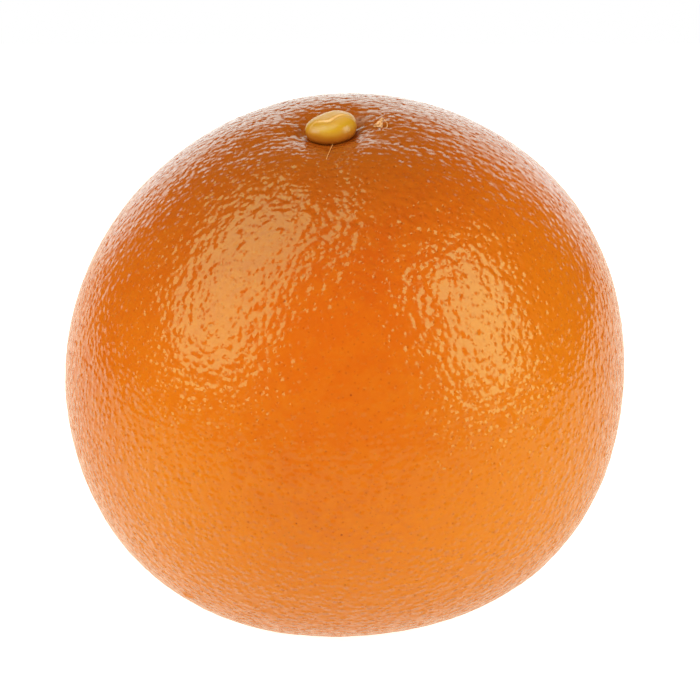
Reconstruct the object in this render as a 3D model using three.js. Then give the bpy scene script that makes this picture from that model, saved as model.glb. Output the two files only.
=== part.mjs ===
// A whole grapefruit as picked, with the dry button of its stem still on, resting on its
// blossom end. Millimetres, +Z up. The origin is the centre of the flat spot that the fruit
// rests on; the front of the fruit faces -Y and its fuller side faces +X.

import * as THREE from 'three';
import { mergeVertices } from 'three/addons/utils/BufferGeometryUtils.js';

const DEGREE = Math.PI / 180;

// The fruit's body: a sphere that grew a little flat, fuller below its equator and lumpy.
// The shares below are parts of the equator's radius.
const EQUATOR_RADIUS = 51;
const CENTRE_HEIGHT = 45.6;
const FLATTENING = 0.045;
const TAPER = 0.035;
const SQUARENESS = 0.022;

// The fruit has settled on a flat foot right under its middle, which fades into the body.
const FOOT = { radius: 10, blend: 9 };

// Low lumps run round the axis that looks out of the front face, 28 degrees above level.
// Each kind has a number of waves, a height as a share of the radius, and the angle of one crest.
const FRONT_ELEVATION = 28 * DEGREE;
const LUMPS = [
  { waves: 2, share: 0.0115, crest: 29 * DEGREE },
  { waves: 3, share: 0.004, crest: -67 * DEGREE },
  { waves: 4, share: 0.002, crest: 35 * DEGREE },
  { waves: 5, share: 0.005, crest: 25 * DEGREE },
];

// The stem end leans a little to the left and forward. A shallow basin with a seat in it holds
// the button, and faint furrows run down from it, the deepest along the front.
const LEAN_LEFT = 3.2 * DEGREE;
const LEAN_FORWARD = 0.8 * DEGREE;
const BASIN = { depth: 1.5, reach: 12 };
const SEAT = { depth: 2.1, reach: 6.5 };
const FURROWS = { count: 5, depth: 0.22, distance: 15, spread: 9 };
const FRONT_FURROW = { depth: 0.4, halfWidth: 3.2, distance: 22, spread: 14 };
const FRONT_TURN = -90 * DEGREE;

// The button is a smooth pebble, longer across than front to back, fuller on the right.
const BUTTON_HALF_LENGTH = 4.9;
const BUTTON_HALF_DEPTH = 4.3;
const BUTTON_HEIGHT = 4.1;
const BUTTON_EDGE_LIFT = 1;
const BUTTON_FULLNESS = 0.12;
const BUTTON_TURN = 14 * DEGREE;
const CLEARANCE = 0.35;

// A dry tip of one sepal has come loose and stands on the shoulder beside the button.
const FLAKE_LENGTH = 1.75;
const FLAKE_WIDTH = 1.7;
const FLAKE_THICKNESS = 0.35;
const FLAKE_DISTANCE = 8.8;
const FLAKE_TURN = -1 * DEGREE;
const FLAKE_LEAN = 35 * DEGREE;

// How finely the surfaces are divided.
const RIND_SEGMENTS = 60;
const RIND_ROWS = 42;
const BUTTON_SEGMENTS = 32;
const BUTTON_ROWS = 14;
const STEM_END_CROWDING = 1.4;

const CENTRE = new THREE.Vector3(0, 0, CENTRE_HEIGHT);
const UP = new THREE.Vector3(0, 0, 1);
const RIGHT = new THREE.Vector3(1, 0, 0);
const STEM_AXIS = new THREE.Vector3(-Math.tan(LEAN_LEFT), -Math.tan(LEAN_FORWARD), 1).normalize();
const STEM_TURN = new THREE.Quaternion().setFromUnitVectors(UP, STEM_AXIS);

function bell(offset, width) {
  return Math.exp(-((offset / width) ** 2));
}

// A unit direction from its angle off +Z and its turn about +Z.
function directionAt(polar, turn) {
  const level = Math.sin(polar);
  return new THREE.Vector3(level * Math.cos(turn), level * Math.sin(turn), Math.cos(polar));
}

// The sphere's smooth departures, for a direction's rise along the stem axis from -1 to 1.
function profileShare(rise) {
  const taper = (5 * rise ** 3 - 3 * rise) / 2;
  const squareness = (35 * rise ** 4 - 30 * rise ** 2 + 3) / 8;
  return 1 - FLATTENING * rise ** 2 + TAPER * taper - SQUARENESS * squareness;
}

function lumpShare(direction) {
  const frontUp = direction.y * Math.sin(FRONT_ELEVATION) + direction.z * Math.cos(FRONT_ELEVATION);
  const turn = Math.atan2(frontUp, direction.x);
  const level = Math.hypot(frontUp, direction.x);
  return LUMPS.reduce(
    (sum, { waves, share, crest }) => sum + share * level ** waves * Math.cos(waves * (turn - crest)),
    0,
  );
}

// How far the rind is sunk round the stem, for a direction given in the stem's own frame.
function stemEndDepth(direction) {
  const distance = EQUATOR_RADIUS * direction.angleTo(UP);
  const fromFront = Math.atan2(direction.y, direction.x) - FRONT_TURN;
  const basin = BASIN.depth * bell(distance, BASIN.reach) + SEAT.depth * bell(distance, SEAT.reach);
  const wave = (1 + Math.cos(FURROWS.count * fromFront)) / 2;
  const furrows = FURROWS.depth * wave * bell(distance - FURROWS.distance, FURROWS.spread);
  const aside = distance * Math.sin(fromFront);
  const ahead = distance * Math.cos(fromFront);
  const along = bell(ahead - FRONT_FURROW.distance, FRONT_FURROW.spread);
  return basin + furrows + FRONT_FURROW.depth * bell(aside, FRONT_FURROW.halfWidth) * along;
}

// The rind's distance from the fruit's centre, for a direction given in the stem's own frame.
function rindRadius(direction) {
  const upright = direction.clone().applyQuaternion(STEM_TURN);
  return EQUATOR_RADIUS * (profileShare(direction.z) + lumpShare(upright)) - stemEndDepth(direction);
}

// A closed body from a sphere whose points are moved to place(polar, turn).
function grownGeometry(segments, rows, place) {
  const sphere = new THREE.SphereGeometry(1, segments, rows);
  sphere.deleteAttribute('normal');
  sphere.deleteAttribute('uv');
  const points = sphere.attributes.position;
  for (let i = 0; i < points.count; i += 1) {
    const polar = Math.acos(THREE.MathUtils.clamp(points.getY(i), -1, 1));
    const turn = Math.atan2(-points.getZ(i), points.getX(i));
    const placed = place(polar, turn);
    points.setXYZ(i, placed.x, placed.y, placed.z);
  }
  const geometry = mergeVertices(sphere, 1e-4);
  geometry.computeVertexNormals();
  return geometry;
}

// Moves a point of the body's underside onto the resting plane, or part of the way to it.
function settle(point) {
  const aside = Math.hypot(point.x, point.y);
  const share = THREE.MathUtils.smoothstep(aside, FOOT.radius, FOOT.radius + FOOT.blend);
  point.z = Math.max(point.z, 0) * share;
}

// Rows crowd towards the stem end, where the shape is finest. The stem's lean fades out
// towards the blossom end.
function fruitPoint(polar, turn) {
  const crowded = Math.PI * (polar / Math.PI) ** STEM_END_CROWDING;
  const level = directionAt(crowded, turn);
  const straightened = new THREE.Quaternion().slerp(STEM_TURN.clone().invert(), (1 - level.z) / 2);
  const direction = level.applyQuaternion(straightened);
  const point = direction.clone().multiplyScalar(rindRadius(direction));
  point.applyQuaternion(STEM_TURN).add(CENTRE);
  if (point.z < CENTRE_HEIGHT) {
    settle(point);
  }
  return point;
}

// The button's outline: an oval whose long axis turns away from the front on the right.
function buttonReach(turn) {
  const own = turn - BUTTON_TURN;
  const depth = BUTTON_HALF_DEPTH * (1 + BUTTON_FULLNESS * Math.cos(own));
  const crossed = Math.hypot(depth * Math.cos(own), BUTTON_HALF_LENGTH * Math.sin(own));
  return (BUTTON_HALF_LENGTH * depth) / crossed;
}

// The button follows the rind at a small clearance and swells out over a rounded edge.
function buttonPoint(polar, turn) {
  const reach = buttonReach(turn) * Math.sin(polar);
  const rise = Math.cos(polar);
  const fullness = 1 + BUTTON_FULLNESS * Math.sin(polar) * Math.cos(turn - BUTTON_TURN);
  const crown = (BUTTON_HEIGHT - BUTTON_EDGE_LIFT) * fullness * rise;
  const swell = rise > 0 ? crown : -BUTTON_EDGE_LIFT * Math.sqrt(-rise);
  const lift = CLEARANCE + BUTTON_EDGE_LIFT + swell;
  const direction = directionAt(reach / EQUATOR_RADIUS, turn);
  return direction.multiplyScalar(rindRadius(direction) + lift);
}

function makeFruit() {
  const geometry = grownGeometry(RIND_SEGMENTS, RIND_ROWS, fruitPoint);
  const rind = new THREE.MeshStandardMaterial({ color: 0xe0701a, roughness: 0.3, metalness: 0 });
  const fruit = new THREE.Mesh(geometry, rind);
  fruit.name = 'fruit';
  return fruit;
}

function makeStemButton() {
  const geometry = grownGeometry(BUTTON_SEGMENTS, BUTTON_ROWS, buttonPoint);
  const dryStem = new THREE.MeshStandardMaterial({ color: 0xdfa93a, roughness: 0.45, metalness: 0 });
  const button = new THREE.Mesh(geometry, dryStem);
  button.name = 'stem_button';
  return button;
}

// The flake's outline is a small tooth: a straight foot, and two bowed sides up to a tip that
// stands over its right end.
function makeSepalFlake() {
  const half = FLAKE_WIDTH / 2;
  const outline = new THREE.Shape();
  outline.moveTo(-half, 0);
  outline.lineTo(half, 0);
  outline.quadraticCurveTo(half, FLAKE_LENGTH * 0.5, half * 0.75, FLAKE_LENGTH);
  outline.quadraticCurveTo(0, FLAKE_LENGTH * 0.4, -half, 0);
  const geometry = new THREE.ExtrudeGeometry(outline, {
    depth: FLAKE_THICKNESS,
    curveSegments: 6,
    bevelEnabled: false,
  });
  const drySepal = new THREE.MeshStandardMaterial({ color: 0xc79a5e, roughness: 0.75, metalness: 0 });
  const flake = new THREE.Mesh(geometry, drySepal);
  flake.name = 'sepal_flake';
  return flake;
}

// Stands a piece whose foot is at its own origin on the rind, at a place by the stem.
function standOnRind(piece, distance, turn, lean, lift) {
  const direction = directionAt(distance / EQUATOR_RADIUS, turn);
  piece.position.copy(direction).multiplyScalar(rindRadius(direction) + lift);
  piece.quaternion.setFromUnitVectors(UP, direction);
  piece.quaternion.multiply(new THREE.Quaternion().setFromAxisAngle(RIGHT, lean));
}

const stemEnd = new THREE.Group();
stemEnd.position.copy(CENTRE);
stemEnd.quaternion.copy(STEM_TURN);
stemEnd.add(makeStemButton());

const sepalFlake = makeSepalFlake();
standOnRind(sepalFlake, FLAKE_DISTANCE, FLAKE_TURN, Math.PI / 2 - FLAKE_LEAN, CLEARANCE + FLAKE_THICKNESS);
stemEnd.add(sepalFlake);

const grapefruit = new THREE.Group();
grapefruit.add(makeFruit());
grapefruit.add(stemEnd);

export default grapefruit;
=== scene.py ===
"""A grapefruit on a white table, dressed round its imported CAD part. Metres, +Z up, front at -Y.

Lengths of the fruit's shape are written in millimetres of a fruit whose equator's radius is
RADIUS. MM turns them into metres, and comes from the CAD part's own width. Places on the rind
are given by the distance along it from the stem axis and by the bearing round that axis, which
is 0 at the right and -90 at the front.
"""

import math

import bpy
import numpy as np
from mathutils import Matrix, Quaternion, Vector, kdtree, noise
from mathutils.geometry import delaunay_2d_cdt


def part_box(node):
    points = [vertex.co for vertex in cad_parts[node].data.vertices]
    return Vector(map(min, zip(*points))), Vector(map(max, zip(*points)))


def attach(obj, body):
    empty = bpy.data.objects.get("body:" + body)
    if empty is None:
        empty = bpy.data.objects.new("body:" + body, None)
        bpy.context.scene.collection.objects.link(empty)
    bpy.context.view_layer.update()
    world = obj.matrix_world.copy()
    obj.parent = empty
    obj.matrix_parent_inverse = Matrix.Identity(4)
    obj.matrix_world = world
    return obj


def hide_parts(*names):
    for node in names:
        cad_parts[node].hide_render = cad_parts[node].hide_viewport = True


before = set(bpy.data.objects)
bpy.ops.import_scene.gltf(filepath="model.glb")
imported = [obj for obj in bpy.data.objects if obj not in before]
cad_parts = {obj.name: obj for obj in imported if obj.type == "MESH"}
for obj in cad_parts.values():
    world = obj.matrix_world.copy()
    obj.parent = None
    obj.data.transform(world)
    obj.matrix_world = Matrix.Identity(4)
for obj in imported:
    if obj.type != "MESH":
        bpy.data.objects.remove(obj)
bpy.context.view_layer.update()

# ---------------------------------------------------------------- sizes

RADIUS = 51.0
WIDTH_IN_RADII = 1.994
FRUIT_LOW, FRUIT_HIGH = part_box("fruit")
MM = (FRUIT_HIGH.x - FRUIT_LOW.x) / (WIDTH_IN_RADII * RADIUS)
CENTRE_HEIGHT = 0.894 * RADIUS
CENTRE = Vector((0, 0, CENTRE_HEIGHT * MM))

# The body, as in the CAD part: shares of the radius, and lumps round the axis that looks
# out of the front face. Each lump is (waves, share, angle of a crest in degrees).
FLATTENING = 0.045
TAPER = 0.035
SQUARENESS = 0.022
FRONT_ELEVATION = math.radians(28)
LUMPS = [(2, 0.0115, 29), (3, 0.004, -67), (4, 0.002, 35), (5, 0.005, 25)]
FOOT_RADIUS = 10
FOOT_BLEND = 9

# The stem end: which way it leans, its basin and seat (depth, reach) and its furrows.
LEAN_LEFT = math.radians(3.2)
LEAN_FORWARD = math.radians(0.8)
BASIN = (1.5, 12)
SEAT = (2.1, 6.5)
FURROW_COUNT = 5
FURROW_DEPTH = 0.22
FURROW_DISTANCE = 15
FURROW_SPREAD = 9
FRONT_FURROW_DEPTH = 0.4
FRONT_FURROW_HALF_WIDTH = 3.2
FRONT_FURROW_DISTANCE = 22
FRONT_FURROW_SPREAD = 14
FRONT_TURN = math.radians(-90)

# Each seed looks at the same endless noise this far along from the one before.
SEED_STRIDES = (17.3, 5.1, 9.7)

rng = np.random.default_rng(28)


# ---------------------------------------------------------------- the fruit's shape

def bell(offset, width):
    return np.exp(-((offset / width) ** 2))


def smoothstep(value, low, high):
    share = np.clip((value - low) / (high - low), 0, 1)
    return share * share * (3 - 2 * share)


def unit(vectors):
    return vectors / np.linalg.norm(vectors, axis=-1, keepdims=True)


def direction_at(polar, turn):
    level = np.sin(polar)
    return np.stack([level * np.cos(turn), level * np.sin(turn), np.cos(polar)], axis=-1)


stem_axis = Vector((-math.tan(LEAN_LEFT), -math.tan(LEAN_FORWARD), 1)).normalized()
STEM_TURN = np.array(Vector((0, 0, 1)).rotation_difference(stem_axis).to_matrix())


def to_upright(stem_vectors):
    return stem_vectors @ STEM_TURN.T


def to_stem(upright_vectors):
    return upright_vectors @ STEM_TURN


def stem_distance(directions):
    """Millimetres along the rind from the stem axis, for directions in the stem's frame."""
    return RADIUS * np.arccos(np.clip(directions[..., 2], -1, 1))


def stem_bearing(directions):
    return np.arctan2(directions[..., 1], directions[..., 0])


def profile_share(rise):
    taper = (5 * rise**3 - 3 * rise) / 2
    squareness = (35 * rise**4 - 30 * rise**2 + 3) / 8
    return 1 - FLATTENING * rise**2 + TAPER * taper - SQUARENESS * squareness


def lump_share(upright):
    front_up = upright[..., 1] * math.sin(FRONT_ELEVATION) + upright[..., 2] * math.cos(FRONT_ELEVATION)
    turn = np.arctan2(front_up, upright[..., 0])
    level = np.hypot(front_up, upright[..., 0])
    return sum(
        share * level**waves * np.cos(waves * (turn - math.radians(crest)))
        for waves, share, crest in LUMPS
    )


def stem_end_depth(directions):
    distance = stem_distance(directions)
    from_front = stem_bearing(directions) - FRONT_TURN
    basin = BASIN[0] * bell(distance, BASIN[1]) + SEAT[0] * bell(distance, SEAT[1])
    wave = (1 + np.cos(FURROW_COUNT * from_front)) / 2
    furrows = FURROW_DEPTH * wave * bell(distance - FURROW_DISTANCE, FURROW_SPREAD)
    across = bell(distance * np.sin(from_front), FRONT_FURROW_HALF_WIDTH)
    along = bell(distance * np.cos(from_front) - FRONT_FURROW_DISTANCE, FRONT_FURROW_SPREAD)
    return basin + furrows + FRONT_FURROW_DEPTH * across * along


def rind_radius(directions):
    """The smooth rind's distance from the centre, for directions in the stem's frame."""
    share = profile_share(directions[..., 2]) + lump_share(to_upright(directions))
    return RADIUS * share - stem_end_depth(directions)


def rind_points(directions, lift=0.0):
    """Points at a height above the smooth rind, in the upright frame with Z from the table."""
    radius = rind_radius(directions) + lift
    points = to_upright(directions * radius[..., None])
    points[..., 2] += CENTRE_HEIGHT
    aside = np.hypot(points[..., 0], points[..., 1])
    settled = np.maximum(points[..., 2], 0) * smoothstep(aside, FOOT_RADIUS, FOOT_RADIUS + FOOT_BLEND)
    points[..., 2] = np.where(points[..., 2] < CENTRE_HEIGHT, settled, points[..., 2])
    return points


def place_by_stem(distance, bearing_degrees):
    """A unit direction in the stem's frame, from a place on the rind."""
    return direction_at(np.asarray(distance / RADIUS), np.asarray(math.radians(bearing_degrees)))


def ripple(points, size, seed):
    """Smooth noise between about -1 and 1, whose waves are about two sizes long."""
    shift = Vector([seed * stride for stride in SEED_STRIDES])
    return np.array([noise.noise(Vector(point) / size + shift) for point in points])


# ---------------------------------------------------------------- meshes

def add_piece(name, points, faces, material, node=None):
    """A smooth mesh piece from points in the fruit's millimetres."""
    mesh = bpy.data.meshes.new(name)
    mesh.from_pydata((np.asarray(points, float) * MM).tolist(), [], faces)
    mesh.update()
    mesh.shade_smooth()
    piece = bpy.data.objects.new(name, mesh)
    bpy.context.scene.collection.objects.link(piece)
    mesh.materials.append(material)
    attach(piece, "root")
    if node:
        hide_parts(node)
    return piece


def add_attribute(piece, name, values):
    layer = piece.data.attributes.new(name, "FLOAT", "POINT")
    layer.data.foreach_set("value", np.asarray(values, np.float32))


def tube(path, radii, sides=8):
    """Points and faces of a closed tube along a path, with a radius at each of its points."""
    path = np.asarray(path, float)
    along = unit(np.gradient(path, axis=0))
    side = unit(np.cross(along, (0.3, 0.2, 1.0)))
    up = np.cross(along, side)
    turns = np.arange(sides) * 2 * math.pi / sides
    rings = [
        path[i] + radii[i] * (np.cos(turns)[:, None] * side[i] + np.sin(turns)[:, None] * up[i])
        for i in range(len(path))
    ]
    faces = []
    for i in range(len(path) - 1):
        for j in range(sides):
            k = (j + 1) % sides
            faces.append((i * sides + j, i * sides + k, (i + 1) * sides + k, (i + 1) * sides + j))
    faces.append(tuple(range(sides))[::-1])
    faces.append(tuple((len(path) - 1) * sides + j for j in range(sides)))
    return np.concatenate(rings), faces


# ---------------------------------------------------------------- materials

def linear(share):
    """A display channel, 0 to 1, as light: the sRGB curve."""
    return share / 12.92 if share <= 0.04045 else ((share + 0.055) / 1.055) ** 2.4


def colour(red, green, blue):
    """A display colour, 0 to 255, as the linear colour that a shader takes."""
    return [linear(channel / 255) for channel in (red, green, blue)] + [1.0]


class Nodes:
    """Adds nodes to one tree. Each value is a number, a colour or another node's output."""

    def __init__(self, tree):
        self.tree = tree

    def add(self, kind, inputs=(), **settings):
        node = self.tree.nodes.new(kind)
        for key, value in settings.items():
            setattr(node, key, value)
        for key, value in dict(inputs).items():
            self.feed(node.inputs[key], value)
        return node

    def feed(self, socket, value):
        if isinstance(value, bpy.types.NodeSocket):
            self.tree.links.new(value, socket)
        else:
            socket.default_value = value

    def ramp(self, value, low, high, start=0.0, end=1.0):
        """Goes smoothly from start to end as the value goes from low to high."""
        inputs = {"Value": value, "From Min": low, "From Max": high, "To Min": start, "To Max": end}
        node = self.add("ShaderNodeMapRange", inputs, interpolation_type="SMOOTHSTEP")
        return node.outputs["Result"]

    def maths(self, operation, *values):
        return self.add("ShaderNodeMath", dict(enumerate(values)), operation=operation).outputs[0]

    def mix(self, share, first, second):
        """Mixes two colours. Their sockets have namesakes of other kinds, so they go by number."""
        inputs = {"Factor": share, 6: first, 7: second}
        return self.add("ShaderNodeMix", inputs, data_type="RGBA").outputs[2]

    def split(self, vector):
        return self.add("ShaderNodeSeparateXYZ", {"Vector": vector}).outputs


class Shader(Nodes):
    """Builds one material round its principled surface. Scales are in waves or cells a metre."""

    def __init__(self, name):
        self.material = bpy.data.materials.new(name)
        self.material.use_nodes = True
        super().__init__(self.material.node_tree)
        self.surface = self.tree.nodes["Principled BSDF"]
        self.place = self.add("ShaderNodeTexCoord").outputs["Object"]

    def set(self, **values):
        """Sets the surface's own sockets; spaces in their names are written as underscores."""
        for key, value in values.items():
            self.feed(self.surface.inputs[key.replace("_", " ")], value)

    def attribute(self, name):
        return self.add("ShaderNodeAttribute", attribute_name=name).outputs["Fac"]

    def noise(self, scale, detail=2.0, roughness=0.5):
        inputs = {"Vector": self.place, "Scale": scale, "Detail": detail, "Roughness": roughness}
        return self.add("ShaderNodeTexNoise", inputs).outputs["Fac"]

    def cells(self, scale, randomness):
        """The distance to the middle of the nearest cell, in cells."""
        inputs = {"Vector": self.place, "Scale": scale, "Randomness": randomness}
        return self.add("ShaderNodeTexVoronoi", inputs).outputs["Distance"]

    def bump(self, height, depth, normal=None):
        """A bump whose height of one stands that many metres proud."""
        node = self.add("ShaderNodeBump", {"Height": height, "Distance": depth, "Strength": 1.0})
        if normal is not None:
            self.feed(node.inputs["Normal"], normal)
        return node.outputs["Normal"]


# The rind's finest relief is bumps, in millimetres: a dimple in each gland, small domes all
# over and shallow ripples. The domes are higher near the foot, and the ripples there and on
# the shoulders. Each zone is two heights in radii: the shoulders' gain is full at the upper
# one, and the foot's at the lower.
DIMPLE_DEPTH = 0.035
DOME_HEIGHT = 0.1
DOME_TIP_HEIGHT = 0.02
RIPPLE_HEIGHT = 0.125
SHOULDER_ZONE = (1.4, 1.75)
SHOULDER_GAIN = 1.75
FOOT_ZONE = (0.7, 1.35)
FOOT_GAIN = 1.9


def rind_normal(shader, gland):
    height = shader.split(shader.place)["Z"]
    shoulder = shader.ramp(height, *(RADIUS * MM * end for end in SHOULDER_ZONE), 1.0, SHOULDER_GAIN)
    foot = shader.ramp(height, *(RADIUS * MM * end for end in FOOT_ZONE), FOOT_GAIN, 1.0)
    dimples = shader.ramp(gland, -0.2, 0.8, 0.0, -1.0)
    cells = shader.cells(760, 0.75)
    broad = shader.ramp(cells, 0.0, 0.7, DOME_HEIGHT, 0.0)
    tip = shader.ramp(cells, 0.0, 0.3, DOME_TIP_HEIGHT, 0.0)
    domes = shader.maths("MULTIPLY", shader.maths("ADD", broad, tip), foot)
    strength = shader.maths("MULTIPLY", shoulder, foot)
    ripples = shader.maths("MULTIPLY", shader.noise(620, 0), strength)
    normal = shader.bump(dimples, DIMPLE_DEPTH * MM)
    normal = shader.bump(domes, MM, normal)
    return shader.bump(ripples, RIPPLE_HEIGHT * MM, normal)


ORANGE = colour(168, 68, 14)
WARM_ORANGE = colour(173, 76, 15)
AMBER = colour(179, 91, 18)
YELLOW_AND_PAINTED_LIGHT = colour(190, 105, 18)
BROWN_AND_PAINTED_SHADE = colour(143, 70, 17)
OILY_ORANGE = colour(195, 122, 40)
PIT_PAINTED_SHADE = colour(130, 44, 9)
SPECK_RED = colour(118, 37, 15)
DARK_CORK = colour(109, 53, 29)
PALE_CORK = colour(179, 130, 107)


def rind_material():
    shader = Shader("rind")
    gland = shader.attribute("gland")
    cork = shader.attribute("cork")

    drift = shader.ramp(shader.noise(28, 3), 0.35, 0.65)
    ground = shader.mix(drift, ORANGE, WARM_ORANGE)
    mottle = shader.ramp(shader.noise(260, 4, 0.6), 0.4, 0.62, 0.0, 0.35)
    ground = shader.mix(mottle, ground, AMBER)
    # Yellower low down and in cheeks: painted light, but for the cheek at the back.
    ground = shader.mix(shader.attribute("yellow_and_painted_light"), ground, YELLOW_AND_PAINTED_LIGHT)
    # Browner round the stem: the stem end's own colour, and painted shade over the top.
    ground = shader.mix(shader.attribute("brown_and_painted_shade"), ground, BROWN_AND_PAINTED_SHADE)
    oily = shader.ramp(shader.noise(420, 1), 0.45, 0.7, 0.0, 0.4)
    oily_gland = shader.maths("MULTIPLY", shader.ramp(gland, 0.1, 0.9), oily)
    ground = shader.mix(oily_gland, ground, OILY_ORANGE)
    # Painted shade: each gland's pit is darkened, as if in its own shade.
    ground = shader.mix(shader.ramp(gland, 0.3, 1.0, 0.0, 0.4), ground, PIT_PAINTED_SHADE)
    crumbs = shader.ramp(shader.noise(900, 4, 0.7), 0.35, 0.7)
    ground = shader.mix(cork, ground, shader.mix(crumbs, DARK_CORK, PALE_CORK))
    speck = shader.ramp(shader.attribute("speck"), 0.3, 0.9, 0.0, 0.75)
    ground = shader.mix(speck, ground, SPECK_RED)

    grain = shader.ramp(shader.noise(900, 2), 0.3, 0.7, 0.13, 0.19)
    rough = shader.maths("ADD", grain, shader.maths("MULTIPLY", cork, 0.35))
    shader.set(Base_Color=ground, Roughness=rough, Normal=rind_normal(shader, gland))
    shader.set(Subsurface_Weight=0.12, Subsurface_Radius=(1.0, 0.35, 0.08), Subsurface_Scale=1.6 * MM)
    shader.set(IOR=1.5, Specular_Tint=(0.5, 1.0, 0.4, 1.0))
    return shader.material


OCHRE = colour(169, 124, 12)
STRAW = colour(170, 131, 30)
FOOT_PAINTED_SHADE_AND_BOUNCE = colour(155, 83, 24)
CROWN_TAN = colour(198, 152, 78)
LID_RIM_PAINTED_HIGHLIGHT = colour(220, 182, 140)
FLECK_BROWN = colour(149, 87, 32)


def button_material():
    shader = Shader("dry_stem")
    height = shader.attribute("height")
    drift = shader.ramp(shader.noise(300, 3), 0.35, 0.65)
    ground = shader.mix(drift, OCHRE, STRAW)
    # Painted shade and painted orange bounce from the rind: darker orange-brown towards the foot.
    ground = shader.mix(shader.ramp(height, 0.5, 3.3, 0.95, 0.0), ground, FOOT_PAINTED_SHADE_AND_BOUNCE)
    ground = shader.mix(shader.ramp(height, 3.2, 4.3, 0.0, 0.5), ground, CROWN_TAN)
    # Painted highlight: a pale line along the lid's rim, above the crease.
    lid_rim_highlight = shader.maths("MULTIPLY", shader.attribute("lid_rim_highlight"), 0.8)
    ground = shader.mix(lid_rim_highlight, ground, LID_RIM_PAINTED_HIGHLIGHT)
    fleck = shader.ramp(shader.noise(2600, 2), 0.6, 0.75, 0.0, 0.25)
    ground = shader.mix(fleck, ground, FLECK_BROWN)
    rough = shader.ramp(shader.noise(1200, 3), 0.3, 0.7, 0.3, 0.38)
    normal = shader.bump(shader.noise(1500, 3, 0.6), 0.02 * MM)
    shader.set(Base_Color=ground, Roughness=rough, Normal=normal)
    shader.set(Subsurface_Weight=0.15, Subsurface_Radius=(1.0, 0.6, 0.2), Subsurface_Scale=0.8 * MM)
    return shader.material


def husk_material(name, pale, dark):
    """Dry thin tissue, for the sepal flake and the fibres."""
    shader = Shader(name)
    streak = shader.ramp(shader.noise(2400, 4, 0.7), 0.35, 0.65)
    rough = shader.ramp(shader.noise(3000, 2), 0.3, 0.7, 0.55, 0.8)
    normal = shader.bump(shader.noise(3500, 3, 0.6), 0.03 * MM)
    shader.set(Base_Color=shader.mix(streak, pale, dark), Roughness=rough, Normal=normal)
    return shader.material


# ---------------------------------------------------------------- the rind

# Oil glands: each is a pit, with a ring of points round its lowest one. Their depths are
# shares of their radii, spread about the usual one, and grow towards the fruit's shoulders.
GLAND_COUNT = 16200
RING_POINTS = 5
GLAND_MIN_RADIUS = 0.25
GLAND_MAX_RADIUS = 0.7
GLAND_USUAL_RADIUS = 0.5
GLAND_RADIUS_SPREAD = 0.2
GLAND_SHARE_OF_GAP = 0.42
GLAND_DEPTH_SHARE = 0.16
GLAND_DEPTH_SPREAD = 0.7
GLAND_DEEPEST_SHARE = 0.48
GLAND_SHOULDER_RISE = (0.6, 0.9)
GLAND_SHOULDER_GAIN = 0.6
# Each point of a ring lies at its own share of the gland's radius, between these.
RING_REACHES = (0.86, 1.14)
# The glands' centres start on an even spiral, are jittered by a share of their spacing, and
# then step away from the middle of their neighbours a few times.
SPIRAL_JITTER = 0.3
RELAXING_ROUNDS = 3
NEIGHBOURS = 6
RELAXING_STEP = 0.35
# Swells of the skin: (height, size, seed).
SWELLS = [(0.07, 2.0, 1), (0.1, 9.0, 3)]
# Dark specks: (distance from the stem, bearing in degrees).
SPECKS = [(32, -57), (36, -73), (43, -104), (59, -88), (85, -91), (83, -99), (99, -75), (93, -56)]
STRAY_SPECKS = 26
STRAY_SPECK_STRENGTH = 0.6
# Warts stand out of the skin: (distance, bearing, half width, height).
WARTS = [
    (108.3, -132.3, 0.8, 0.45),
    (104.5, -113.5, 0.7, 0.25),
    (22.3, 54, 0.6, 0.25),
    (73, -23, 0.6, 0.2),
]
# A corky scuff by the button: (distance, bearing) and its reach.
SCUFF_PLACE = (7.2, 38)
SCUFF_REACH = 1.6
SCUFF_STRENGTH = 0.85
# The skin is browner round the stem, further down the left than the right.
# Partly the stem end's own colour, partly painted shade over the top, most on the upper left.
BROWN_START = 6
BROWN_REACH = 54
BROWN_SWAY = 12
BROWN_SHORT_SIDE = math.radians(-20)
BROWN_STRENGTH = 0.85
# It is yellower low down, and in cheeks: (polar angle and bearing in degrees, reach in
# radians, share).
# Low down the yellow is painted light from the table below.
LOW_PAINTED_LIGHT = 0.6
LOW_PAINTED_LIGHT_DROP = (-0.25, 0.45)
# All cheeks but the last are painted light where the lamps fall; the last is the skin's own tone.
CHEEKS_AND_PAINTED_LIGHT = [
    (82, -44, 0.55, 0.8),
    (84, -128, 0.4, 0.6),
    (52, -18, 0.45, 0.35),
    (62, -165, 0.4, 0.3),
    (80, 95, 0.7, 0.8),
]


def tree_of(points):
    tree = kdtree.KDTree(len(points))
    for i, point in enumerate(points):
        tree.insert(point, i)
    tree.balance()
    return tree


def relaxed_sphere(count):
    """Unit directions spread evenly but without a pattern: each is pushed off its neighbours."""
    index = np.arange(count) + 0.5
    golden_turn = math.pi * (1 + math.sqrt(5))
    points = direction_at(np.arccos(1 - 2 * index / count), index * golden_turn)
    spacing = math.sqrt(4 * math.pi / count)
    points = unit(points + rng.normal(0, SPIRAL_JITTER * spacing, points.shape))
    for _ in range(RELAXING_ROUNDS):
        tree = tree_of(points)
        moved = points.copy()
        for i, point in enumerate(points):
            near = [item[1] for item in tree.find_n(point, 1 + NEIGHBOURS)[1:]]
            moved[i] += RELAXING_STEP * (point - points[near].mean(axis=0))
        points = unit(moved)
    return points


def sphere_faces(directions):
    """The triangles that join directions on a sphere. The last direction is straight down:
    the others are spread on a plane as seen from it, joined there, and then closed to it."""
    spread = directions[:-1, :2] / (1 + directions[:-1, 2:])
    joined = delaunay_2d_cdt([Vector(place) for place in spread.tolist()], [], [], 0, 1e-12)
    faces = [tuple(face) for face in joined[2]]
    edges = {(face[i], face[i - 2]) for face in faces for i in range(3)}
    bottom = len(directions) - 1
    return faces + [(end, start, bottom) for start, end in edges if (end, start) not in edges]


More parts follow.
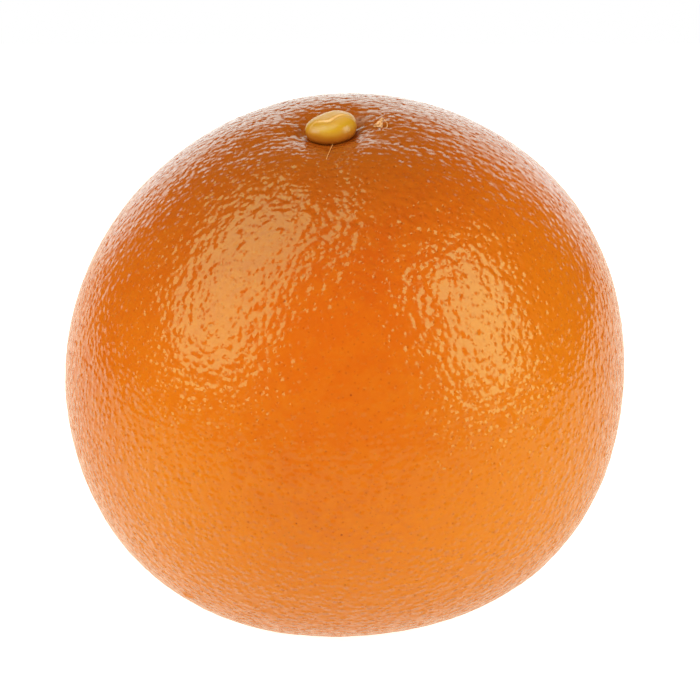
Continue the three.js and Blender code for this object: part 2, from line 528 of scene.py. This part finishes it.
def gland_rings(centres, reach):
    """Rings of points round the glands' centres, one array for each place on the ring."""
    side = unit(np.cross(centres, (0.31, 0.52, 0.79)))
    across = np.cross(centres, side)
    start = rng.uniform(0, 2 * math.pi, GLAND_COUNT)
    rings = []
    for k in range(RING_POINTS):
        turn = (start + k * 2 * math.pi / RING_POINTS)[:, None]
        arm = (reach * rng.uniform(*RING_REACHES, GLAND_COUNT) / RADIUS)[:, None]
        rings.append(unit(centres + arm * (np.cos(turn) * side + np.sin(turn) * across)))
    return rings


def gland_depths(centres, reach):
    share = GLAND_DEPTH_SHARE * np.exp(rng.normal(0, GLAND_DEPTH_SPREAD, GLAND_COUNT))
    gain = 1 + GLAND_SHOULDER_GAIN * smoothstep(centres[:, 2], *GLAND_SHOULDER_RISE)
    return reach * np.minimum(share, GLAND_DEEPEST_SHARE) * gain


def rind_gap(directions, place):
    """Millimetres along the rind from a place on it, for directions in the stem's frame."""
    return RADIUS * np.arccos(np.clip(directions @ place, -1, 1))


# The brown round the stem, which also paints shade over the top of the fruit.
def brown_and_painted_shade_share(directions):
    reach = BROWN_REACH - BROWN_SWAY * np.cos(stem_bearing(directions) - BROWN_SHORT_SIDE)
    return BROWN_STRENGTH * (1 - smoothstep(stem_distance(directions), BROWN_START, reach))


# The yellow share, mostly painted light: low down and on the front and sides.
def yellow_and_painted_light_share(upright):
    share = LOW_PAINTED_LIGHT * smoothstep(-upright[:, 2], *LOW_PAINTED_LIGHT_DROP)
    for polar, bearing, reach, strength in CHEEKS_AND_PAINTED_LIGHT:
        cheek = direction_at(np.radians(polar), np.radians(bearing))
        share += strength * bell(np.arccos(np.clip(upright @ cheek, -1, 1)), reach)
    return share


def make_rind():
    centres = relaxed_sphere(GLAND_COUNT)
    tree = tree_of(centres)
    gap = np.array([tree.find_n(centre, 2)[1][2] for centre in centres]) * RADIUS
    reach = GLAND_USUAL_RADIUS * np.exp(rng.normal(0, GLAND_RADIUS_SPREAD, GLAND_COUNT))
    reach = np.clip(reach, GLAND_MIN_RADIUS, GLAND_MAX_RADIUS)
    reach = np.minimum(reach, GLAND_SHARE_OF_GAP * gap)

    upright = np.concatenate([centres, *gland_rings(centres, reach), [[0, 0, -1]]])
    directions = to_stem(upright)
    smooth = rind_points(directions)
    gland = np.zeros(len(upright))
    gland[:GLAND_COUNT] = 1

    relief = np.zeros(len(upright))
    relief[:GLAND_COUNT] -= gland_depths(centres, reach)
    for height, size, seed in SWELLS:
        relief += height * ripple(smooth, size, seed)
    for distance, bearing, half_width, height in WARTS:
        relief += height * bell(rind_gap(directions, place_by_stem(distance, bearing)), half_width)
    points = smooth + upright * relief[:, None]
    points[:, 2] = np.maximum(points[:, 2], 0)

    speck = np.zeros(len(upright))
    for place in SPECKS:
        speck[tree.find(to_upright(place_by_stem(*place)))[1]] = 1
    speck[rng.choice(GLAND_COUNT, STRAY_SPECKS, replace=False)] = STRAY_SPECK_STRENGTH
    scuff = bell(rind_gap(directions, place_by_stem(*SCUFF_PLACE)), SCUFF_REACH)

    piece = add_piece("rind", points, sphere_faces(upright), rind_material(), "fruit")
    add_attribute(piece, "gland", gland)
    add_attribute(piece, "speck", speck)
    # Brown round the stem, partly painted shade.
    add_attribute(piece, "brown_and_painted_shade", brown_and_painted_shade_share(directions))
    # Yellow, mostly painted light.
    add_attribute(piece, "yellow_and_painted_light", yellow_and_painted_light_share(upright))
    add_attribute(piece, "cork", SCUFF_STRENGTH * scuff)


# ---------------------------------------------------------------- the stem button

BUTTON_HALF_LENGTH = 4.9
BUTTON_HALF_DEPTH = 4.3
BUTTON_HEIGHT = 4.1
BUTTON_EDGE_LIFT = 1.0
BUTTON_SEAT_LIFT = 0.3
BUTTON_ROOT_DEPTH = 1.7
BUTTON_FULLNESS = 0.12
BUTTON_DOME_POWER = 2.1
BUTTON_ROOT_POWER = 0.6
BUTTON_TURN = math.radians(18)
BUTTON_SEGMENTS = 144
BUTTON_ROWS = 72
BUTTON_RIPPLE = 0.05
BUTTON_RIPPLE_SIZE = 1.4
# A low lid lies behind a wavy crease across the top. Its places are shares of the button's
# half length to the right and of its half depth to the back.
LID_RISE = 0.1
LID_EDGE = -0.17
LID_EDGE_SWAY = 0.11
LID_EDGE_WAVE = 6.7
LID_EDGE_SHIFT = 0.1
LID_MIDDLE = 0.03
LID_HALF_WIDTH = 0.62
LID_RISE_START = -0.04
LID_RISE_END = 0.06
LID_FALL_START = 0.1
LID_FALL_END = 0.5
# Where the painted highlight along the lid's rim lies, and its half width.
LID_RIM = 0.02
LID_RIM_WIDTH = 0.05
CREASE = -0.09
CREASE_WIDTH = 0.06
CREASE_DEPTH = 0.13


def button_reach(turn):
    own = turn - BUTTON_TURN
    depth = BUTTON_HALF_DEPTH * (1 + BUTTON_FULLNESS * np.cos(own))
    crossed = np.hypot(depth * np.cos(own), BUTTON_HALF_LENGTH * np.sin(own))
    return BUTTON_HALF_LENGTH * depth / crossed


def button_grid():
    """The polar angles and turns of the button's points: its top, the rows, and its root."""
    turns = np.arange(BUTTON_SEGMENTS) * 2 * math.pi / BUTTON_SEGMENTS
    polars = np.arange(1, BUTTON_ROWS) * math.pi / BUTTON_ROWS
    polar, turn = np.meshgrid(polars, turns, indexing="ij")
    polar = np.concatenate([[0.0], polar.ravel(), [math.pi]])
    turn = np.concatenate([[0.0], turn.ravel(), [0.0]])
    return polar, turn


def button_faces():
    faces = [(0, 1 + j, 1 + (j + 1) % BUTTON_SEGMENTS) for j in range(BUTTON_SEGMENTS)]
    for i in range(BUTTON_ROWS - 2):
        low = 1 + i * BUTTON_SEGMENTS
        high = low + BUTTON_SEGMENTS
        for j in range(BUTTON_SEGMENTS):
            k = (j + 1) % BUTTON_SEGMENTS
            faces.append((low + j, high + j, high + k, low + k))
    ring = 1 + (BUTTON_ROWS - 2) * BUTTON_SEGMENTS
    root = ring + BUTTON_SEGMENTS
    for j in range(BUTTON_SEGMENTS):
        faces.append((ring + (j + 1) % BUTTON_SEGMENTS, ring + j, root))
    return faces


def make_button():
    polar, turn = button_grid()
    rise = np.cos(polar)
    own = turn - BUTTON_TURN
    rooted = np.maximum(np.sin(polar), 0) ** BUTTON_ROOT_POWER
    reach = button_reach(turn) * np.where(rise > 0, np.sin(polar), rooted)
    to_right = reach * np.cos(own) / BUTTON_HALF_LENGTH
    to_back = reach * np.sin(own) / BUTTON_HALF_DEPTH

    fullness = 1 + BUTTON_FULLNESS * np.sin(polar) * np.cos(own)
    dome = (1 - np.minimum(np.sin(polar), 1) ** BUTTON_DOME_POWER) ** (1 / BUTTON_DOME_POWER)
    crown = (BUTTON_HEIGHT - BUTTON_EDGE_LIFT) * fullness * dome
    under = -BUTTON_ROOT_DEPTH * np.maximum(-rise, 0) ** BUTTON_ROOT_POWER
    lift = BUTTON_EDGE_LIFT + BUTTON_SEAT_LIFT + np.where(rise > 0, crown, under)

    sway = LID_EDGE_SWAY * np.cos(LID_EDGE_WAVE * (to_right + LID_EDGE_SHIFT))
    behind_edge = to_back - (LID_EDGE - sway)
    seam = bell(to_right - LID_MIDDLE, LID_HALF_WIDTH) * (rise > 0)
    front = smoothstep(behind_edge, LID_RISE_START, LID_RISE_END)
    back = smoothstep(-behind_edge, -LID_FALL_END, -LID_FALL_START)
    lift += LID_RISE * front * back * seam
    lift -= CREASE_DEPTH * bell(behind_edge - CREASE, CREASE_WIDTH) * seam

    directions = direction_at(reach / RADIUS, turn)
    smooth = rind_points(directions, lift)
    relief = BUTTON_RIPPLE * ripple(smooth, BUTTON_RIPPLE_SIZE, 5)
    points = smooth + to_upright(directions) * relief[:, None]
    piece = add_piece("button", points, button_faces(), button_material(), "stem_button")
    add_attribute(piece, "height", lift)
    # Where the painted highlight lies along the lid's rim.
    add_attribute(piece, "lid_rim_highlight", bell(behind_edge - LID_RIM, LID_RIM_WIDTH) * seam)


# ---------------------------------------------------------------- flake, fibre and hair

FLAKE_LENGTH = 1.65
FLAKE_DISTANCE = 9.3
FLAKE_BEARING = -1
FLAKE_LEAN = math.radians(35)
FLAKE_FOOT_LIFT = 0.1
FLAKE_THICKNESS = 0.14
FLAKE_STEPS = 16
# Its edges, in millimetres to the right: where each starts at the foot, and how far it moves
# on the way up to the tip.
FLAKE_LEFT = -1.3
FLAKE_LEFT_MOVE = 1.35
FLAKE_LEFT_CURVE = 1.15
FLAKE_RIGHT = 0.35
FLAKE_RIGHT_MOVE = -0.12
FLAKE_RAGGEDNESS = 0.16
FLAKE_CURL = 0.5
FLAKE_CUP = 0.25
FLAKE_CRUMPLE = 0.3

FIBRE_POINTS = 21
FIBRE_RADII = (0.13, 0.09)
FIBRE_ACROSS = 0.2
FIBRE_BOW = 0.95
FIBRE_BOW_SHARE = 0.62
FIBRE_FOOT = 0.12
FIBRE_DROP_POWER = 0.9
FIBRE_PROUD = 0.25

HAIR_POINTS = 25
HAIR_RADII = (0.07, 0.045)
HAIR_START = 3.4
HAIR_LENGTH = 8.4
HAIR_BEARING = -84
HAIR_BEND = -10
HAIR_BEND_POWER = 0.7
HAIR_LIFT = 0.12
HAIR_ARCH = 0.1


def flake_point(across, height, proud):
    """A point of the flake's leaning plane, in millimetres from the middle of its foot."""
    outward = place_by_stem(FLAKE_DISTANCE, FLAKE_BEARING)
    foot = rind_points(outward[None])[0]
    outward = to_upright(outward)
    right = unit(np.array([1.0, 0, 0]) - outward[0] * outward)
    back = np.cross(outward, right)
    upward = math.cos(FLAKE_LEAN) * outward + math.sin(FLAKE_LEAN) * back
    return foot + right * across + upward * height + np.cross(upward, right) * -proud


def make_flake(material):
    """A thin crumpled scale: its right edge is nearly upright, its ragged left edge slopes."""
    points = []
    for i in range(FLAKE_STEPS + 1):
        height = i / FLAKE_STEPS
        left = FLAKE_LEFT + FLAKE_LEFT_MOVE * height**FLAKE_LEFT_CURVE
        right = FLAKE_RIGHT + FLAKE_RIGHT_MOVE * height
        for j in range(FLAKE_STEPS + 1):
            share = j / FLAKE_STEPS
            crumple = noise.noise((3.1 * height, 2.3 * share, 1.7))
            ragged = FLAKE_RAGGEDNESS * noise.noise((7 * height, 0.5, 4.2)) * (1 - share)
            across = left + (right - left) * share + ragged
            cup = FLAKE_CUP * (2 * share - 1) ** 2
            proud = FLAKE_CURL * height**2 - cup + FLAKE_CRUMPLE * crumple
            points.append(flake_point(across, FLAKE_FOOT_LIFT + height * FLAKE_LENGTH, proud))
    faces = []
    for i in range(FLAKE_STEPS):
        for j in range(FLAKE_STEPS):
            near = i * (FLAKE_STEPS + 1) + j
            far = near + FLAKE_STEPS + 1
            faces.append((near, near + 1, far + 1, far))
    piece = add_piece("flake", points, faces, material, "sepal_flake")
    thickness = piece.modifiers.new("thickness", "SOLIDIFY")
    thickness.thickness = FLAKE_THICKNESS * MM
    thickness.offset = 0


def make_fibre(material):
    """A strand that leaves the flake's tip, bows out to the right and comes back to its foot."""
    path = []
    for share in np.linspace(0, 1, FIBRE_POINTS):
        across = FIBRE_ACROSS + FIBRE_BOW * math.sin(FIBRE_BOW_SHARE * math.pi * share)
        height = FIBRE_FOOT + FLAKE_LENGTH * (1 - share) ** FIBRE_DROP_POWER
        path.append(flake_point(across, height, FIBRE_PROUD * math.sin(math.pi * share)))
    points, faces = tube(path, np.linspace(*FIBRE_RADII, FIBRE_POINTS))
    add_piece("fibre", points, faces, material)


def make_hair(material):
    """A fine hair that lies on the rind, from under the button towards the front."""
    path = []
    for share in np.linspace(0, 1, HAIR_POINTS):
        bearing = HAIR_BEARING + HAIR_BEND * share**HAIR_BEND_POWER
        direction = place_by_stem(HAIR_START + HAIR_LENGTH * share, bearing)
        lift = HAIR_LIFT + HAIR_ARCH * math.sin(math.pi * share)
        path.append(rind_points(direction[None], lift)[0])
    points, faces = tube(path, np.linspace(*HAIR_RADII, HAIR_POINTS), 6)
    add_piece("hair", points, faces, material)


# ---------------------------------------------------------------- table, light and camera

# What a mirror would show of each light.
LEFT_LIGHT = (3.2, 3.9, 3.8)
RIGHT_LIGHT = (4.15, 4.95, 4.9)
FRONT_LIGHT = (2.95, 3.35, 1.4)
ROOM_LIGHT = (0.5, 0.21, 0.02)
BACKDROP_LIGHT = (1.6, 1.7, 1.66)
PANEL_DISTANCE = 12 * RADIUS * MM

# The table glows like a lit white one. It is dimmer in front of a slanting line by the fruit,
# most of all close to the fruit, which shades it. Its shares are of the full glow.
TABLE_LIGHT = (1.06, 0.92, 0.74)
TABLE_NEAR_SHARE = 0.64
TABLE_FAR_SHARE = 0.95
TABLE_NEAR = 2.0 * RADIUS * MM
TABLE_FAR = 4.0 * RADIUS * MM
TABLE_DIM_TO = -2.0 * RADIUS * MM
TABLE_BRIGHT_FROM = 0.4 * RADIUS * MM
TABLE_SLANT = -0.35
TABLE_SEEN_GLOW = 0.85
TABLE_HALF_WIDTH = 6 * RADIUS * MM
TABLE_FRONT = -7.4 * RADIUS * MM
TABLE_BACK = 5 * RADIUS * MM

# The backdrop's soft edges, as parts of a unit direction: how far back it starts, and where
# its top ends, which slants down to the left.
BACKDROP_BACK = (0.66, 0.92)
BACKDROP_TOP = (0.2, 0.48)
BACKDROP_SLANT = -0.25

CAMERA_DISTANCE = 12.75 * RADIUS * MM
FRAME_WIDTH = 2.5 * RADIUS * MM
AIM_RIGHT = 0.73 * MM
AIM_UP = 2.77 * MM


def make_table():
    """A glowing table, which the camera itself sees as plain white."""
    corners = [
        (side * TABLE_HALF_WIDTH, end, 0.0)
        for side, end in ((-1, TABLE_FRONT), (1, TABLE_FRONT), (1, TABLE_BACK), (-1, TABLE_BACK))
    ]
    mesh = bpy.data.meshes.new("table")
    mesh.from_pydata(corners, [], [(0, 1, 2, 3)])
    table = bpy.data.objects.new("table", mesh)
    bpy.context.scene.collection.objects.link(table)

    shader = Shader("table")
    place = shader.split(shader.place)
    slant = shader.maths("MULTIPLY", place["X"], TABLE_SLANT)
    depth = shader.maths("ADD", place["Y"], slant)
    far = shader.add("ShaderNodeVectorMath", {0: shader.place}, operation="LENGTH").outputs["Value"]
    front = shader.ramp(far, TABLE_NEAR, TABLE_FAR, TABLE_NEAR_SHARE, TABLE_FAR_SHARE)
    glow = shader.ramp(depth, TABLE_DIM_TO, TABLE_BRIGHT_FROM, front, 1.0)
    shader.set(Base_Color=(0.3, 0.3, 0.3, 1), Roughness=1.0, Specular_IOR_Level=0.0)
    shader.set(Emission_Color=(*TABLE_LIGHT, 1), Emission_Strength=glow)
    white = shader.add("ShaderNodeBsdfPrincipled", {
        "Base Color": (0.8, 0.8, 0.8, 1),
        "Roughness": 1.0,
        "Specular IOR Level": 0.0,
        "Emission Color": (1, 1, 1, 1),
        "Emission Strength": TABLE_SEEN_GLOW,
    })
    seen = shader.add("ShaderNodeLightPath").outputs["Is Camera Ray"]
    choice = {0: seen, 1: shader.surface.outputs["BSDF"], 2: white.outputs["BSDF"]}
    shown = shader.add("ShaderNodeMixShader", choice).outputs["Shader"]
    shader.feed(shader.tree.nodes["Material Output"].inputs["Surface"], shown)
    mesh.materials.append(shader.material)


def add_panel(name, place, half_sizes, radiance, mirrored=True, fall=0.0):
    """A soft light that faces the fruit. Its place is its azimuth from the front towards +X,
    its elevation and its roll, in degrees. Its half width and half height are shares of its
    distance, and its foot is brighter than its middle by fall."""
    azimuth, elevation, roll = (math.radians(angle) for angle in place)
    level = math.cos(elevation)
    away = Vector((math.sin(azimuth) * level, -math.cos(azimuth) * level, math.sin(elevation)))
    light = bpy.data.lights.new(name, "AREA")
    light.shape = "RECTANGLE"
    light.size, light.size_y = (2 * half * PANEL_DISTANCE for half in half_sizes)
    light.energy = max(radiance) * math.pi * light.size * light.size_y
    light.color = Vector(radiance) / max(radiance)
    if fall:
        light.use_nodes = True
        nodes = Nodes(light.node_tree)
        up = nodes.split(nodes.add("ShaderNodeNewGeometry").outputs["Parametric"])["Y"]
        strength = nodes.maths("MULTIPLY_ADD", up, -2 * fall, 1 + fall)
        nodes.feed(light.node_tree.nodes["Emission"].inputs["Strength"], strength)
    panel = bpy.data.objects.new(name, light)
    panel.location = CENTRE + away * PANEL_DISTANCE
    panel.rotation_mode = "QUATERNION"
    rolled = Quaternion((0, 0, 1), roll)
    panel.rotation_quaternion = away.to_track_quat("Z", "Y") @ rolled
    panel.visible_camera = False
    panel.visible_glossy = mirrored
    bpy.context.scene.collection.objects.link(panel)


def make_world():
    """A white backdrop low behind the fruit and a dim room elsewhere. The camera sees white."""
    world = bpy.data.worlds.new("studio")
    world.use_nodes = True
    bpy.context.scene.world = world
    world.node_tree.nodes.clear()
    nodes = Nodes(world.node_tree)
    towards = nodes.split(nodes.add("ShaderNodeTexCoord").outputs["Generated"])
    behind = nodes.ramp(towards["Y"], *BACKDROP_BACK)
    height = nodes.maths("MULTIPLY_ADD", towards["X"], BACKDROP_SLANT, towards["Z"])
    below = nodes.ramp(height, *BACKDROP_TOP, 1.0, 0.0)
    backdrop = nodes.maths("MULTIPLY", behind, below)
    light = nodes.mix(backdrop, (*ROOM_LIGHT, 1), (*BACKDROP_LIGHT, 1))
    seen = nodes.add("ShaderNodeLightPath").outputs["Is Camera Ray"]
    shown = nodes.mix(seen, light, (1, 1, 1, 1))
    background = nodes.add("ShaderNodeBackground", {"Color": shown}).outputs["Background"]
    nodes.add("ShaderNodeOutputWorld", {"Surface": background})


def make_camera():
    """At the photograph's height and distance; the fruit is a little left of and below centre."""
    camera = bpy.data.cameras.new("camera")
    seat = bpy.data.objects.new("camera", camera)
    bpy.context.scene.collection.objects.link(seat)
    bpy.context.scene.camera = seat
    away = Vector((0, -math.cos(FRONT_ELEVATION), math.sin(FRONT_ELEVATION)))
    upward = Vector((0, math.sin(FRONT_ELEVATION), math.cos(FRONT_ELEVATION)))
    aim = CENTRE + Vector((AIM_RIGHT, 0, 0)) + upward * AIM_UP
    seat.location = aim + away * CAMERA_DISTANCE
    seat.rotation_mode = "QUATERNION"
    seat.rotation_quaternion = away.to_track_quat("Z", "Y")
    camera.sensor_width = 36
    camera.lens = camera.sensor_width * CAMERA_DISTANCE / FRAME_WIDTH
    camera.clip_start = 0.1 * CAMERA_DISTANCE
    camera.clip_end = 10 * CAMERA_DISTANCE


make_camera()
make_table()
make_world()
add_panel("left_panel", (-75, 49, 27), (0.36, 0.76), LEFT_LIGHT, fall=0.2)
add_panel("right_panel", (65, 29, -8), (0.27, 0.47), RIGHT_LIGHT)
add_panel("front_fill", (0, 7, 0), (1.2, 0.24), FRONT_LIGHT, mirrored=False)
bpy.context.scene.view_settings.view_transform = "Standard"

make_rind()
make_button()
husk = husk_material("husk", colour(204, 160, 126), colour(160, 104, 70))
strand = husk_material("strand", colour(226, 170, 104), colour(197, 130, 68))
make_flake(husk)
make_fibre(husk)
make_hair(strand)

bpy.context.view_layer.update()
